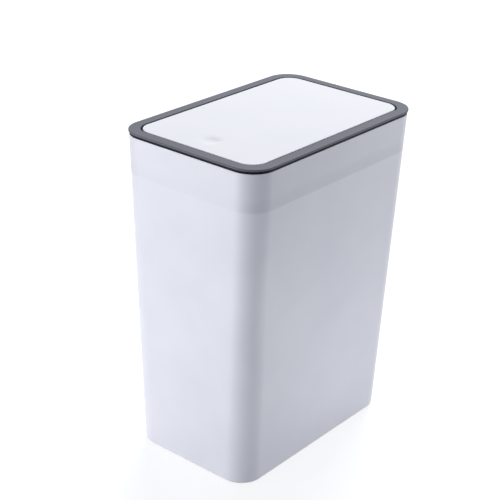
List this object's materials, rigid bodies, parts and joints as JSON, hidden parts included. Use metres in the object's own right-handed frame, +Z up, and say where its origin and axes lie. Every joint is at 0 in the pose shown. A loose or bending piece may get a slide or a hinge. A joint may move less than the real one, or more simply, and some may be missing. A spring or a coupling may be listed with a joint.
{
  "type": "push-lid waste bin",
  "caption": "Slim tapered waste bin with a milky white bucket, a grey lift-off lid frame over a dark bag ring, and a flush white push-to-open lid on sprung rear hinges.",
  "frame": {"origin": "on the floor under the middle of the bucket", "axes": "+X across the short side to the bin's right, +Y from the pressed front to the hinged rear, +Z up"},
  "size_m": [0.2, 0.3, 0.4],
  "materials": {
    "bucket_plastic": "milky moulded polypropylene, satin",
    "ring_plastic": "dark moulded polypropylene, satin",
    "frame_plastic": "grey moulded polypropylene, satin",
    "lid_plastic": "white moulded polypropylene, fine satin",
    "latch_plastic": "light grey moulded acetal",
    "rod_steel": "drawn steel",
    "spring_steel": "drawn spring wire",
    "screw_steel": "zinc-plated"
  },
  "bodies": {
    "bucket": {"bucket": "bucket_plastic"},
    "bag_ring": {"bag_ring": "ring_plastic"},
    "lid_frame": {"lid_frame": "frame_plastic", "hinge_rod": "rod_steel", "torsion_spring_left": "spring_steel", "torsion_spring_right": "spring_steel", "latch_housing": "latch_plastic", "latch_cap": "latch_plastic", "latch_screws": "screw_steel", "latch_spring": "spring_steel", "latch_cam_wire": "spring_steel"},
    "lid": {"lid_panel": "lid_plastic", "lid_inner_cover": "lid_plastic", "cover_screws": "screw_steel", "striker": "latch_plastic", "striker_screws": "screw_steel"},
    "latch_slider": {"latch_slider": "latch_plastic"}
  },
  "joints": [
    {"name": "ring_lift", "type": "slide", "parent": "bucket", "child": "bag_ring", "axis": [0, 0, 1], "range_m": [0, 0.1]},
    {"name": "frame_lift", "type": "slide", "parent": "bag_ring", "child": "lid_frame", "axis": [0, 0, 1], "range_m": [0, 0.12]},
    {"name": "lid_open", "type": "hinge", "parent": "lid_frame", "child": "lid", "pos_m": [0, 0.10902, 0.393], "axis": [-1, 0, 0], "range_deg": [-0.8, 85], "deforming": ["torsion_spring_left", "torsion_spring_right"]},
    {"name": "latch_slide", "type": "slide", "parent": "lid_frame", "child": "latch_slider", "axis": [0, 0, 1], "range_m": [-0.0033, 0], "stiffness_N_per_m": 400, "springref_m": 0.004, "deforming": ["latch_spring"]}
  ]
}
